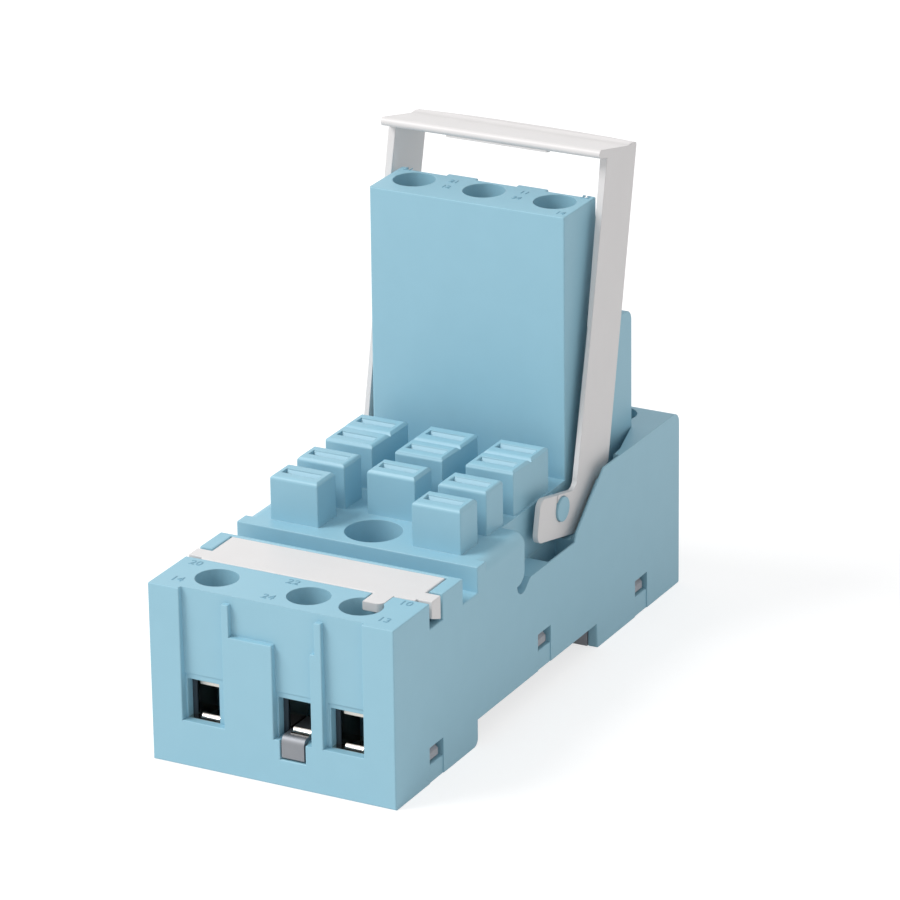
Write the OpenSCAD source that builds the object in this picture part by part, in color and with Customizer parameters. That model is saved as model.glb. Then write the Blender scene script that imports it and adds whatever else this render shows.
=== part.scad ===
// Relay socket for a 35 mm rail: stepped screw terminals, blade posts, bail lever and snap-in base.
// Millimetres. X runs across the rail, Y from the front terminals backwards, Z up.
// Modules are drawn from the front face; from_front() puts the middle of the length on the origin.

/* [Housing] */
// Width of the housing across the rail
body_w = 38; // [37.6:0.1:44]
// Length of the housing from the front face to the rear face
body_l = 88; // [87:0.5:100]
// Height of the front tier and of the relay platform
base_h = 26.4; // [26:0.1:30]
// Radius of the platform's long side edges
edge_r = 1.8; // [0.5:0.1:2]
// Distance of those rounded edges' front ends from the front face
edge_y = 26.7; // [26:0.1:28]
// Thickness of the roof above the inner chambers
roof_t = 1.5; // [1:0.1:2.5]
// Thickness of the lower side walls beside the base cover
side_t = 1.5; // [1:0.1:1.7]

/* [Tiers] */
// Length of the front tier
front_l = 10.4; // [9.4:0.1:11]
// Front face of the tower
tower_y = 58; // [57.6:0.1:60]
// Length of the tower
tower_l = 10.1; // [9.9:0.1:12]
// Length of the tier behind the tower
tier_l = 11.3; // [10.6:0.1:13]
// Rise of the rear block's terminals above the front ones
rear_lift = 0.7; // [0:0.1:3]
// Rise of the second tier's terminals above the front ones
tier_lift = 21.1; // [20:0.1:24]
// Rise of the tower's terminals above the front ones
tower_lift = 39.4; // [38:0.1:44]
// How much lower the second tier's roof lies over its terminals
tier_drop = 2.1; // [0:0.1:2.6]
// Radius of the rear top edges of the second tier and of the rear block
back_r = 1.8; // [0.5:0.1:2]

/* [Face relief] */
// Width of the proud margin at each side of the front face
margin_w = 4.9; // [4.6:0.05:5.2]
// Depth of the recessed bands at the top of a face
relief_top = 0.8; // [0.4:0.05:0.9]
// Depth of the recessed bands at the foot of the wire windows
relief_foot = 1.2; // [0.9:0.05:1.4]
// How far a rear band is wider than its wire window
band_extra = 0.6; // [0.2:0.1:1.2]
// Width of the ribs between the front bands
rib_w = 1.15; // [0.8:0.05:1.4]
// Distance of the left rib from the left wire window
rib_set = 0.7; // [0.4:0.1:1]
// Distance of the right rib from the right wire window
rib_in = 0.4; // [0.2:0.1:0.8]
// How far the ribs end below the top
rib_drop = 1.15; // [0.8:0.05:1.6]
// How far the raised panels round the middle wire window end below the top
panel_drop = 5.85; // [5.5:0.05:7]

/* [Terminals] */
// Distance of the outer columns of terminals from the housing's sides
column_in = 7.8; // [7.7:0.05:7.9]
// Distance of the middle front terminal from the right one
front_step = 8.1; // [8:0.1:8.3]
// Distance of the front screws from the front face
front_set = 5.5; // [5.4:0.1:6]
// Distance of the tower's screws from its rear face
tower_set = 4.5; // [4.4:0.1:5]
// Distance of the second tier's screws from its rear face
tier_set = 5.8; // [5:0.1:6.2]
// Distance of the rear block's screws from the rear face
rear_set = 5; // [4.5:0.1:5.2]
// Width of a wire window
window_w = 5.8; // [5:0.1:5.9]
// Height of a wire window
window_h = 6.6; // [6:0.1:7]
// Lower edge of the front wire windows
window_z = 6.8; // [6.4:0.1:7]

/* [Clamps] */
// Outer width of a clamp cage
cage_w = 5.5; // [5.3:0.1:5.6]
// Length of a clamp cage along the wire
cage_l = 4.9; // [4.5:0.1:5]
// Outer height of a clamp cage
cage_h = 9.1; // [9:0.1:9.4]
// Underside of a fully open front cage
cage_z = 5.1; // [4.8:0.1:5.3]
// Wall of a clamp cage
cage_t = 0.8; // [0.7:0.05:0.9]
// Thickness of the threaded top of a clamp cage
nut_t = 1.2; // [1:0.1:1.5]
// Underside of the contact bar in a front cage
bar_z = 11.3; // [11:0.1:11.5]
// Thickness of the contact bar in a cage
bar_t = 1; // [0.8:0.1:1.1]
// Smallest wire height that a cage closes on
wire_min = 0.6; // [0.4:0.1:1]
// Clearance of a cage in its chamber
cage_gap = 0.2; // [0.15:0.01:0.25]

/* [Screws] */
// Radius of the screw's shank
shank_r = 1.7; // [1.5:0.05:1.8]
// Radius of the screw's head
head_r = 2.8; // [2.5:0.05:2.85]
// Height of the screw's head
head_h = 2.5; // [2:0.1:2.8]
// Width of the driver slots in the head
driver_w = 0.9; // [0.7:0.1:1.2]
// Depth of the long driver slot
driver_d = 1.1; // [0.8:0.1:1.5]
// Length of the short cross slot
cross_l = 3.9; // [3:0.1:4.2]
// Depth of the short cross slot
cross_d = 1.3; // [1:0.1:1.6]
// Radial clearance of the head in its bore
head_gap = 0.275; // [0.15:0.025:0.35]
// Radial clearance of the shank in the cage's thread
thread_gap = 0.05; // [0.02:0.01:0.1]
// Radial clearance of the shank in the ledge
shank_gap = 0.5; // [0.3:0.05:0.7]
// Thickness of the ledge that a screw's head turns on
ledge_t = 0.7; // [0.6:0.1:0.8]

/* [Relay blades] */
// Coil blade row from the front face
coil_y = 29.5; // [29.3:0.1:30]
// Distance from the coil row to the common row
common_step = 7.7; // [7.5:0.1:8]
// Distance from the common row to the make row
make_step = 8.2; // [8:0.1:8.4]
// Distance from the make row to the break row
break_step = 5.7; // [5.5:0.1:5.9]
// Height of the blade posts above the platform
post_h = 6.63; // [6:0.01:8]
// Width of a blade post
post_w = 7.68; // [7.4:0.02:8.2]
// Length of a single blade post
post_l = 5.1; // [4.9:0.1:5.3]
// Chamfer round the top of a post
post_chamfer = 0.4; // [0.1:0.05:0.5]
// Width of a blade slot
slot_w = 5.7; // [5:0.1:5.8]
// Length of a blade slot
slot_l = 1.6; // [1.2:0.1:2]
// Thickness of a post's top
post_cap = 1.4; // [1:0.1:2]
// Width of the V groove across a double post
post_groove = 1.06; // [0.6:0.02:1.4]

/* [Contact strips] */
// Thickness of the contact strips
strip_t = 0.8; // [0.6:0.05:0.85]
// Width of the finger that reaches into a cage
finger_w = 3.4; // [3:0.1:3.6]
// Underside of the forks and of the break strips' runs
fork_z = 16.4; // [16:0.1:17]
// Underside of the make strips' runs
make_z = 12.2; // [11.8:0.1:13]
// Underside of the common strips' runs
common_z = 8.6; // [8:0.1:9.4]
// Outer length of a fork over both leaves
fork_l = 3; // [2.8:0.1:3.1]
// Thickness of a fork's leaf
leaf_t = 0.5; // [0.3:0.05:0.6]
// Gap between the leaves where they grip the blade
blade_gap = 0.8; // [0.5:0.05:0.9]
// Height of the flared mouth above the grip
mouth_h = 1.5; // [1:0.1:2]
// How much narrower the flared mouth is than the fork's foot
mouth_in = 0.3; // [0.1:0.05:0.6]
// Height above a fork's foot at which its leaves start to lean in
knee_h = 7.3; // [6:0.1:8]
// Distance of a fork's mouth below the post's top wall
mouth_gap = 0.6; // [0.4:0.1:1]
// Width of the bar that joins the middle and the right front terminals
bridge_l = 3.8; // [3:0.1:4]
// How far the middle front finger ends behind its cage's front
finger_in = 1.4; // [1:0.1:1.8]

/* [Marker plate] */
// Length of the marker plate along the socket
plate_l = 8.7; // [8:0.1:9]
// Thickness of the marker plate
plate_t = 1.3; // [1:0.05:1.4]
// Distance of the marker plate's ends from the housing's sides
plate_in = 2.3; // [2:0.1:3]
// Length of an end tab
tab_l = 2.6; // [2:0.1:2.9]
// Depth of an end tab below the top, at its rear
tab_h = 3.55; // [3:0.05:3.6]
// How much less deep an end tab is at its front
tab_rise = 1; // [0:0.1:1.4]
// Thickness of an end tab's hanging part
tab_t = 1.5; // [1:0.1:2]
// Distance of an end tab behind the front edge of its opening
tab_set = 0.6; // [0.4:0.1:0.8]
// Distance of the tongue's middle from the housing's side
tongue_in = 7.15; // [6.8:0.05:7.4]
// Width of the plate's tongue
tongue_w = 3.1; // [2.5:0.1:3.4]
// Reach of the plate's tongue over the front tier
tongue_l = 3.2; // [2.8:0.1:3.4]
// Radius of the tongue's outer corner
tongue_r = 1; // [0.5:0.1:1.4]
// Thickness of the web behind the plate
web_t = 0.7; // [0.5:0.05:1]
// Length of the groove in front of the platform
groove_l = 4.3; // [3.8:0.1:4.8]
// Depth of the groove and of the tab openings
groove_h = 3.8; // [3.6:0.1:4.2]
// Length of an opening for an end tab
tab_gap_l = 3.7; // [3.5:0.1:4]

/* [Panel screw] */
// Radius of the panel screw's hole
panel_r = 2.1; // [1.8:0.05:2.3]
// Radius of the panel screw's counterbore
panel_head_r = 4.1; // [3.8:0.05:4.3]
// Depth of the panel screw's counterbore
panel_head_h = 6.4; // [5:0.1:8]

/* [Side pockets and lever] */
// Front wall of the side pockets
pocket_y = 38.3; // [37.8:0.1:39]
// Floor of the side pockets
pocket_z = 19; // [18.8:0.1:19.05]
// Width of the channel between the core and the skirt, where an arm swings
pocket_w = 2.36; // [2.2:0.02:2.6]
// How much further forward a pocket ends at the skirt than at the core
pocket_slant = 8.6; // [7:0.1:9]
// Radius of the corner above a pocket's front end
pocket_r = 1.95; // [1:0.05:2.2]
// Radius of the round relief under that corner
nick_r = 1.55; // [1:0.05:1.8]
// Distance of the relief's middle in front of the pocket's wall
nick_in = 0.75; // [0.4:0.05:1]
// Length of the slope from the relief's middle up to the pocket's floor
nick_l = 2.5; // [2.2:0.1:3]
// Thickness of the outer skirt behind a pocket
skirt_t = 1.2; // [1:0.05:1.3]
// Where the skirt's slanted edge leaves the pocket floor
ramp_y = 53.9; // [53.5:0.1:54.5]
// Length of the skirt's slanted edge along the socket
ramp_l = 8.7; // [8:0.1:9.5]
// Radius of the pivot pins
pin_r = 1.8; // [1.5:0.05:2]
// Running clearance of the lever on its pins
pin_gap = 0.08; // [0.03:0.01:0.1]
// Pivot's distance from the front face
pin_y = 53.04; // [52.8:0.02:53.3]
// Height of the pivot
pin_z = 24.2; // [24.1:0.05:24.5]
// Backward tilt of the lever at rest
rest_tilt = 12.6; // [12:0.1:12.7]
// How far a pin reaches past the lever's arm
pin_out = 0.3; // [0.1:0.05:0.4]
// Slant of the pins' front halves in degrees
pin_slant = 10; // [4:1:14]
// Thickness of the lever's arms
arm_t = 0.8; // [0.7:0.05:0.9]
// How much thicker the arms are at the crossbar
arm_taper = 0.4; // [0:0.05:0.5]
// Gap between the core and the lever's arms
arm_gap = 1.16; // [1:0.02:1.3]

/* [Lever profile] */
// Length of a foot in front of the pivot
foot_l = 7.1; // [6.8:0.1:8]
// Depth of a foot below the pivot
foot_drop = 4.2; // [4:0.1:4.5]
// Height of a foot above the pivot
foot_rise = 2.2; // [2:0.1:3]
// Radius of a foot's front corners
foot_r = 1.4; // [0.8:0.1:2]
// Length of a foot's flat underside behind the pivot
sole_l = 5.2; // [4.6:0.1:5.4]
// Length of the slanted heel behind the pivot
heel_l = 14; // [13.4:0.1:14.2]
// Height of the heel's end above the pivot
heel_h = 5; // [4.8:0.1:6]
// Distance of an arm's front edge behind the pivot
arm_front = 4.2; // [3.8:0.1:4.4]
// How far the arm's front edge leans forward up to the crossbar
arm_lean = 0.3; // [0.1:0.1:1.6]
// Radius between a foot and its arm
arm_r = 1.4; // [1:0.1:2]
// Width of the slit that lets a foot snap over its pin
slit_w = 0.3; // [0.2:0.05:0.5]
// Distance of an arm's rear edge behind the pivot, at the crossbar
arm_back = 13.2; // [12.8:0.1:13.6]
// Height from the pivot to the top of the crossbar
lever_h = 51.05; // [50.5:0.05:54]
// Thickness of the crossbar
bar_h = 1.25; // [1.1:0.05:1.6]
// Distance of the crossbar's front edge behind the pivot
bar_front = 1.3; // [1:0.1:2]
// Height of the crowned ridge along the crossbar's rear edge, at its middle
ridge_h = 0.7; // [0.2:0.05:0.9]
// How much lower the ridge is at the arms
ridge_fall = 0.35; // [0.1:0.05:0.5]
// Length of the ridge with its front slope
ridge_l = 2.7; // [2:0.1:4]
// Radius of the ridge's rear edge
ridge_r = 0.9; // [0.6:0.1:1.2]
// Length of the thumb lip under the crossbar
lip_span = 16; // [12:0.5:24]
// Offset of the thumb lip's middle to the right
lip_shift = 1; // [0:0.1:3]
// Drop of the thumb lip below the crossbar
thumb_drop = 0.25; // [0.1:0.05:0.6]
// Length of the thumb lip along the socket
thumb_l = 1; // [0.6:0.1:2]
// Distance of the thumb lip behind the crossbar's front edge
thumb_set = 0.4; // [0.2:0.1:1]

/* [Rail and base cover] */
// Front edge of the rail notch
rail_y = 23.8; // [23.6:0.1:24.1]
// Length of the rail notch
rail_l = 37; // [36.6:0.1:37.6]
// Depth of the rail notch
rail_h = 3.8; // [3.4:0.1:4]
// Thickness of the base cover
cover_t = 1.2; // [1:0.05:1.3]
// Clearance round the base cover
cover_gap = 0.1; // [0.05:0.01:0.2]
// Length of the fixed lip under the rail
lip_l = 1.5; // [1:0.1:2]
// Width of the fixed lip
lip_w = 14; // [10:0.5:20]
// Thickness of the fixed lip
lip_t = 1.5; // [1.2:0.1:1.8]
// Radius of the front foot's rounded rail edge
foot_edge_r = 1.1; // [0.6:0.1:1.4]

/* [Snap hooks] */
// Width of the snap hooks
hook_w = 2.6; // [2:0.1:3]
// Thickness of a snap hook's shank
hook_t = 1.2; // [1:0.1:1.4]
// Set-back of a hook's nose from the housing's side
nose_in = 0.5; // [0.3:0.05:0.6]
// Height of a nose's underside above its window's lower edge
catch_z = 0.35; // [0.2:0.05:0.5]
// Height of a nose's upright face
catch_h = 0.95; // [0.6:0.05:1.2]
// Length of the snap windows
snap_l = 4; // [3.6:0.1:4.4]
// Height of the snap windows
snap_h = 2.65; // [2.4:0.05:2.8]
// Depth of the shallow lead-in below each snap window
lead_in = 0.12; // [0.05:0.01:0.2]

/* [Rail clip] */
// Width of the rail clip's plate
clip_w = 12; // [11:0.1:12.8]
// Thickness of the rail clip's plate
clip_t = 1.6; // [1.4:0.1:1.7]
// Underside of the rail clip's plate
clip_z = 1; // [0.9:0.05:1.1]
// Clearance round the rail clip in its guide
clip_gap = 0.2; // [0.15:0.01:0.25]
// Wall of the guide beside the rail clip
guide_t = 1.2; // [1:0.1:1.4]
// Reach of the clip's nose under the rail
nose_l = 1.5; // [1.2:0.1:2]
// Width that the clip's nose is narrower at each side
nose_step = 1.2; // [1.1:0.1:1.5]
// Underside of the clip's nose
nose_z = 0.15; // [0.1:0.05:0.4]
// Width of the screwdriver slot in the clip
pry_w = 4.4; // [4:0.1:5]
// Length of the screwdriver slot
pry_l = 1.5; // [1.2:0.1:1.8]
// Distance of the screwdriver slot from the clip's rear end
pry_in = 2.5; // [2:0.1:3]

/* [Link strip] */
// Width of the link strip
link_w = 3.5; // [3:0.1:3.6]
// Thickness of the link strip
link_t = 0.65; // [0.5:0.05:0.8]
// Length of the link strip's front leg
link_leg = 3.3; // [2.8:0.1:3.5]
// Outer radius of the link strip's bend
link_bend = 1; // [0.8:0.1:1.4]
// Distance of the link strip's leg behind the front face
link_in = 0.1; // [0.05:0.05:0.3]

/* [Hidden] */
$fn = 64;
eps = 0.01;
deep = 100;

// Clearances that several pieces share
strip_gap = 0.3;
riser_gap = 0.85;
seat_gap = 0.05;
fit_gap = 0.1;
plate_gap = 0.2;
panel_gap = 0.3;
floor_gap = 0.08;
// How far a cut reaches past the face that it opens
over = 1;

half_w = body_w / 2;
core_x = half_w - skirt_t - pocket_w;
core_w = 2 * core_x;
rear_h = base_h + rear_lift;
tower_h = base_h + tower_lift;
tier_h = base_h + tier_lift - tier_drop;
tower_end = tower_y + tower_l;
tier_end = tower_end + tier_l;

// Rows of terminals as [screw's place along Y, rise above the front row]
rear_row = [body_l - rear_set, rear_lift];
tier_row = [tier_end - tier_set, tier_lift];
tower_row = [tower_end - tower_set, tower_lift];
column_pitch = half_w - column_in;
middle_x = column_pitch - front_step;
columns = [-column_pitch, 0, column_pitch];
front_x = [-column_pitch, middle_x, column_pitch];

// Terminals as [x, y, rise]: 1 to 3 in front, then the rear block, the second tier and the tower
terminals = concat(
    [for (x = front_x) [x, front_set, 0]],
    [for (row = [rear_row, tier_row, tower_row]) for (x = columns) [x, row[0], row[1]]]);

chamber_w = cage_w + 2 * cage_gap;
strip_w = chamber_w - 2 * strip_gap;
chamber_l = cage_l + 2 * cage_gap;
travel = bar_z - wire_min - cage_z - cage_t;
chamber_z = cage_z + cage_h + travel + fit_gap;
seat_z = chamber_z + ledge_t;

common_y = coil_y + common_step;
make_y = common_y + make_step;
break_y = make_y + break_step;
post_z = base_h + post_h;
fork_top = post_z - post_cap - mouth_gap;
fork_room = fork_l / 2 + fit_gap;
main_y = common_y - fork_room;
front_back = front_set + chamber_l / 2;
bridge_y = front_back + fit_gap;
plate_w = body_w - 2 * plate_in;
plate_y = front_l + fit_gap;
web_y = plate_y + plate_l + fit_gap;
platform_y = web_y + web_t + groove_l;
plate_z = base_h - plate_t;
slot_z = plate_z - seat_gap - fit_gap;
tongue_x = half_w - tongue_in;
// Skirt's short steep step at the foot of its slanted edge, as [length, height]
ramp_foot = [0.6, 1.2];
rail_end = rail_y + rail_l;
cover_x = half_w - side_t - cover_gap;
cover_z = rail_h + cover_t;
arm_x = core_x + arm_gap;
lever_x = arm_x + arm_t;
pin_l = arm_gap + arm_t + pin_out;
hook_x = cover_x - plate_gap;
guide_x = clip_w / 2 + clip_gap + guide_t;
guide_h = clip_z + clip_t + 2 * clip_gap + guide_t;

// Snap windows as [front edge, lower edge, top of the cover below them]
snaps = [[9.7, 2.65, cover_t], [42.2, 6.7, cover_z], [73.3, 3, cover_t]];

// Moves a module that is drawn from the front face so that the middle of its length is at Y 0
module from_front() {
    translate([0, -body_l / 2, 0])
        children();
}

// Extrudes a side profile, drawn as (y, z), along X about the middle
module across(w) {
    rotate([90, 0, 90])
        linear_extrude(height = w, center = true)
            children();
}

// Extrudes a front profile, drawn as (x, z), from y0 to y1
module along(y0, y1) {
    translate([0, y1, 0])
        rotate([90, 0, 0])
            linear_extrude(height = y1 - y0)
                children();
}

// A flat rectangle from two opposite corners
module area(a, b) {
    translate(a)
        square(b - a);
}

// A block from two opposite corners
module block(a, b) {
    translate(a)
        cube(b - a);
}

// Repeats its children on both sides of the middle plane
module both_sides() {
    children();
    mirror([1, 0, 0])
        children();
}

// What lies outside a rounded corner whose sharp point is the origin, with the solid at -X and -Y
module corner_cut(r) {
    difference() {
        area([-r, -r], [0, 0]);
        translate([-r, -r])
            circle(r = r);
    }
}

// A block that stands on z0 with a chamfer round its top
module chamfered(w, y0, y1, z0, z1, c) {
    intersection() {
        across(w)
            polygon([[y0, z0], [y1, z0], [y1, z1 - c], [y1 - c, z1], [y0 + c, z1], [y0, z1 - c]]);
        along(y0, y1)
            polygon([[-w / 2, z0], [w / 2, z0], [w / 2, z1 - c], [w / 2 - c, z1],
                     [c - w / 2, z1], [-w / 2, z1 - c]]);
    }
}

// Side profile over the full width: feet, pocket and the slanted edge of the skirt
module side_profile() {
    difference() {
        polygon([
            [0, 0], [body_l, 0], [body_l, rear_h], [ramp_y + ramp_foot[0] + ramp_l, rear_h],
            [ramp_y + ramp_foot[0], pocket_z + ramp_foot[1]], [ramp_y, pocket_z], [pocket_y, pocket_z],
            [pocket_y, base_h], [0, base_h]]);
        pocket_nick();
        translate([body_l, rear_h])
            corner_cut(back_r);
    }
}

// Rounded front end of a pocket, with the round relief under its corner
module pocket_nick() {
    lean = acos(nick_r / nick_l);
    translate([pocket_y, pocket_z])
        mirror([0, 1])
            corner_cut(pocket_r);
    translate([pocket_y - nick_in, pocket_z]) {
        intersection() {
            circle(r = nick_r);
            area([-nick_r, -nick_r], [nick_r, 0]);
        }
        polygon([[0, 0], [nick_r * cos(lean), -nick_r * sin(lean)], [nick_l, 0]]);
    }
}

// Side profile of the core: platform, tower, second tier and rear block
module core_profile() {
    difference() {
        polygon([
            [0, 0], [body_l, 0], [body_l, rear_h], [tier_end, rear_h], [tier_end, tier_h],
            [tower_end, tier_h], [tower_end, tower_h], [tower_y, tower_h], [tower_y, base_h], [0, base_h]]);
        translate([body_l, rear_h])
            corner_cut(back_r);
        translate([tier_end, tier_h])
            corner_cut(back_r);
    }
}

// Long rounded edges of the platform, from edge_y back to the pockets
module platform_edges() {
    both_sides()
        along(edge_y, pocket_y)
            translate([half_w, base_h])
                corner_cut(edge_r);
}

// Profile of the rail notch with the front foot's rounded edge
module notch_profile() {
    area([rail_y, -over], [rail_end, rail_h]);
    translate([rail_y, 0])
        mirror([0, 1])
            corner_cut(foot_edge_r);
}

// Underside recess that the base cover fills, or the cover itself with the gap g all round
module cover_room(g) {
    end = side_t + g;
    foot_z = cover_t + cover_gap - g;
    roof_z = cover_z + cover_gap - g;
    step = cover_t + cover_gap - g;
    polygon([
        [end, g > 0 ? 0 : -over], [end, foot_z], [rail_y - step, foot_z], [rail_y - step, roof_z],
        [rail_end + step, roof_z], [rail_end + step, foot_z], [body_l - end, foot_z],
        [body_l - end, g > 0 ? 0 : -over]]);
}

// Recessed band in a face: a wedge that deepens downwards, limited to the front profile drawn as children
module relief(top_z, foot_z) {
    intersection() {
        across(body_w)
            polygon([[-over, foot_z], [relief_foot, foot_z], [relief_top, top_z],
                     [relief_top, top_z + over], [-over, top_z + over]]);
        along(-2 * over, 2 * over)
            children();
    }
}

// Front face: open bands round two ribs and a raised panel at each side of the middle window
module front_relief() {
    side_x = half_w - margin_w;
    rib_a = front_x[0] + window_w / 2 + rib_set;
    rib_b = front_x[2] - window_w / 2 - rib_in - rib_w;
    difference() {
        relief(base_h, window_z)
            area([-side_x, window_z], [side_x, base_h + over]);
        along(-3 * over, 3 * over) {
            area([rib_a, 0], [rib_a + rib_w, base_h - rib_drop]);
            area([rib_a, 0], [middle_x - window_w / 2, base_h - panel_drop]);
            area([rib_b, 0], [rib_b + rib_w, base_h - rib_drop]);
            area([middle_x + window_w / 2, 0], [rib_b + rib_w, base_h - panel_drop]);
        }
    }
}

// Rear faces: one open band above each wire window
module rear_relief(face_y, top_z, lift) {
    translate([0, face_y, 0])
        mirror([0, 1, 0])
            relief(top_z, window_z + lift)
                for (x = columns)
                    area([x - (window_w + band_extra) / 2, window_z + lift],
                         [x + (window_w + band_extra) / 2, top_z + over]);
}

// Channel between the core and the skirt behind a pocket, with its slanted rear end
module pocket_channel() {
    skirt_x = half_w - skirt_t;
    translate([0, 0, pocket_z])
        linear_extrude(height = deep)
            polygon([
                [core_x, ramp_y - over], [skirt_x, ramp_y - over],
                [skirt_x, tier_end - pocket_slant], [core_x, tier_end]]);
}

// Outer form of the housing before its chambers are cut
module housing_form() {
    difference() {
        union() {
            difference() {
                across(body_w)
                    side_profile();
                both_sides()
                    pocket_channel();
                platform_edges();
            }
            across(core_w)
                core_profile();
        }
        across(body_w + over)
            notch_profile();
        marker_room();
        front_relief();
        rear_relief(body_l, rear_h, rear_lift);
        rear_relief(tier_end, tier_h, tier_lift);
        rear_relief(tower_end, tower_h, tower_lift);
    }
}

// Slot for the marker plate, its tongue and tabs, and the groove in front of the platform
module marker_room() {
    slot_x = plate_w / 2 + plate_gap;
    tongue_half = tongue_w / 2 + fit_gap;
    block([-slot_x, front_l, slot_z], [slot_x, web_y, deep]);
    block([tongue_x - tongue_half, front_l - tongue_l - fit_gap, slot_z],
          [tongue_x + tongue_half, front_l + over, deep]);
    block([-half_w - over, web_y + web_t, base_h - groove_h], [half_w + over, platform_y, deep]);
    both_sides()
        block([slot_x - eps, front_l, base_h - groove_h], [half_w + over, front_l + tab_gap_l, deep]);
}

// One blade post from y0 to y1
module post(y0, y1) {
    chamfered(post_w, y0 - post_l / 2, y1 + post_l / 2, base_h - over, post_z, post_chamfer);
}

// Blade posts: single ones for the coil and common rows, double ones for the make and break rows
module posts() {
    for (x = columns)
        translate([x, 0, 0]) {
            if (x != 0)
                post(coil_y, coil_y);
            post(common_y, common_y);
            difference() {
                post(make_y, break_y);
                translate([0, (make_y + break_y) / 2, post_z])
                    rotate([45, 0, 0])
                        cube([post_w + over, post_groove / sqrt(2), post_groove / sqrt(2)], center = true);
            }
        }
}

// Pins that the lever turns on, each with a slanted front half that spreads the arm when it is pushed on
module pivot_pins() {
    both_sides()
        translate([core_x - over, pin_y, pin_z])
            difference() {
                rotate([0, 90, 0])
                    cylinder(r = pin_r, h = pin_l + over);
                translate([pin_l + over, 0, 0])
                    rotate([0, 0, pin_slant])
                        translate([0, -deep, -pin_r - over])
                            cube([deep, deep, 2 * (pin_r + over)]);
            }
}

// Pocket of one fork with the blade slot above it
module fork_pocket(y, from_z) {
    block([-chamber_w / 2, y - fork_room, from_z], [chamber_w / 2, y + fork_room, post_z - post_cap]);
    block([-slot_w / 2, y - slot_l / 2, from_z], [slot_w / 2, y + slot_l / 2, deep]);
}

// Chambers of one rear column, open downwards so that strips and cages go in from below
module rear_chambers() {
    riser_room = riser_gap + strip_t + cage_gap;
    across(chamber_w)
        polygon([
            [main_y, 0], [main_y, base_h - roof_t], [tower_row[0] - cage_l / 2 - riser_room, base_h - roof_t],
            [tower_row[0] - cage_l / 2 - riser_room, chamber_z + tower_lift],
            [tower_row[0] + chamber_l / 2, chamber_z + tower_lift],
            [tower_row[0] + chamber_l / 2, chamber_z + tier_lift],
            [tier_row[0] + chamber_l / 2, chamber_z + tier_lift],
            [tier_row[0] + chamber_l / 2, chamber_z + rear_lift],
            [rear_row[0] + chamber_l / 2, chamber_z + rear_lift], [rear_row[0] + chamber_l / 2, 0]]);
    for (y = [common_y, make_y, break_y])
        fork_pocket(y, base_h - roof_t - over);
}

// Chambers of the two coil circuits in the front part
module front_chambers() {
    for (x = front_x)
        translate([x - chamber_w / 2, front_set - chamber_l / 2, 0])
            cube([chamber_w, chamber_l, chamber_z]);
    for (x = [front_x[0], front_x[2]])
        translate([x, 0, 0]) {
            across(chamber_w)
                area([front_back - over, 0], [coil_y + fork_room, chamber_z]);
            fork_pocket(coil_y, chamber_z - over);
        }
    block([middle_x - chamber_w / 2, front_back - over, 0],
          [front_x[2], bridge_y + bridge_l + strip_gap, bar_z + bar_t + strip_gap]);
}

// Wire window, ledge hole and screwdriver bore of one terminal; outward is -1 in front and 1 behind
module terminal_cuts(t, outward) {
    translate(t) {
        mirror([0, outward > 0 ? 0 : 1, 0])
            block([-window_w / 2, cage_l / 2, window_z], [window_w / 2, deep, window_z + window_h]);
        translate([0, 0, chamber_z - eps])
            cylinder(r = shank_r + shank_gap, h = ledge_t + 2 * eps);
        translate([0, 0, seat_z])
            cylinder(r = head_r + head_gap, h = deep);
    }
}

// Face slot for the link strip's front leg
module link_room() {
    slot_x = link_w / 2 + plate_gap;
    block([middle_x - slot_x, -over, window_z + seat_gap + link_t - link_leg - plate_gap],
          [middle_x + slot_x, link_in + link_bend, window_z + over]);
}

// Windows in the side walls, the channels of the hooks behind them and the lead-ins below them
module snap_rooms() {
    both_sides()
        for (s = snaps) {
            block([hook_x, s[0], s[1]], [half_w + over, s[0] + snap_l, s[1] + snap_h]);
            block([hook_x - hook_t - strip_gap, s[0], s[2] - over],
                  [half_w - side_t, s[0] + snap_l, s[1] + snap_h]);
            block([half_w - lead_in, s[0], -over], [half_w + over, s[0] + snap_l, s[1] + over]);
        }
}

// Passage through the rear foot for the rail clip and its guide
module clip_room() {
    block([-guide_x - plate_gap, rail_end - over, -over],
          [guide_x + plate_gap, body_l + over, guide_h + plate_gap]);
}

module housing() {
    color("#9dc6d8")
        from_front()
            difference() {
                union() {
                    housing_form();
                    posts();
                    pivot_pins();
                }
                for (x = columns)
                    translate([x, 0, 0])
                        rear_chambers();
                front_chambers();
                for (i = [0:11])
                    terminal_cuts(terminals[i], i < 3 ? -1 : 1);
                link_room();
                translate([0, coil_y, base_h - panel_head_h])
                    cylinder(r = panel_head_r, h = deep);
                translate([0, coil_y, 0])
                    cylinder(r = panel_r, h = base_h);
                across(2 * (half_w - side_t))
                    cover_room(0);
                snap_rooms();
                clip_room();
            }
}

// One hook of the base cover, for the snap window s
module snap_hook(s) {
    low = s[1] + catch_z;
    top = s[1] + snap_h - fit_gap;
    translate([0, s[0] + (snap_l - hook_w) / 2, 0])
        along(0, hook_w)
            polygon([
                [hook_x - hook_t, s[2] - cover_t / 2], [hook_x, s[2] - cover_t / 2], [hook_x, low],
                [half_w - nose_in, low], [half_w - nose_in, low + catch_h], [hook_x + fit_gap, top],
                [hook_x - hook_t, top]]);
}

// Guide of the rail clip: a channel that is open below for the clip's nose
module clip_guide_room() {
    block([-clip_w / 2 - clip_gap, rail_end - over, clip_z - clip_gap],
          [clip_w / 2 + clip_gap, body_l + over, clip_z + clip_t + clip_gap]);
    block([nose_step - clip_w / 2 - clip_gap, rail_end - over, -over],
          [clip_w / 2 - nose_step + clip_gap, body_l + over, clip_z]);
}

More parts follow.
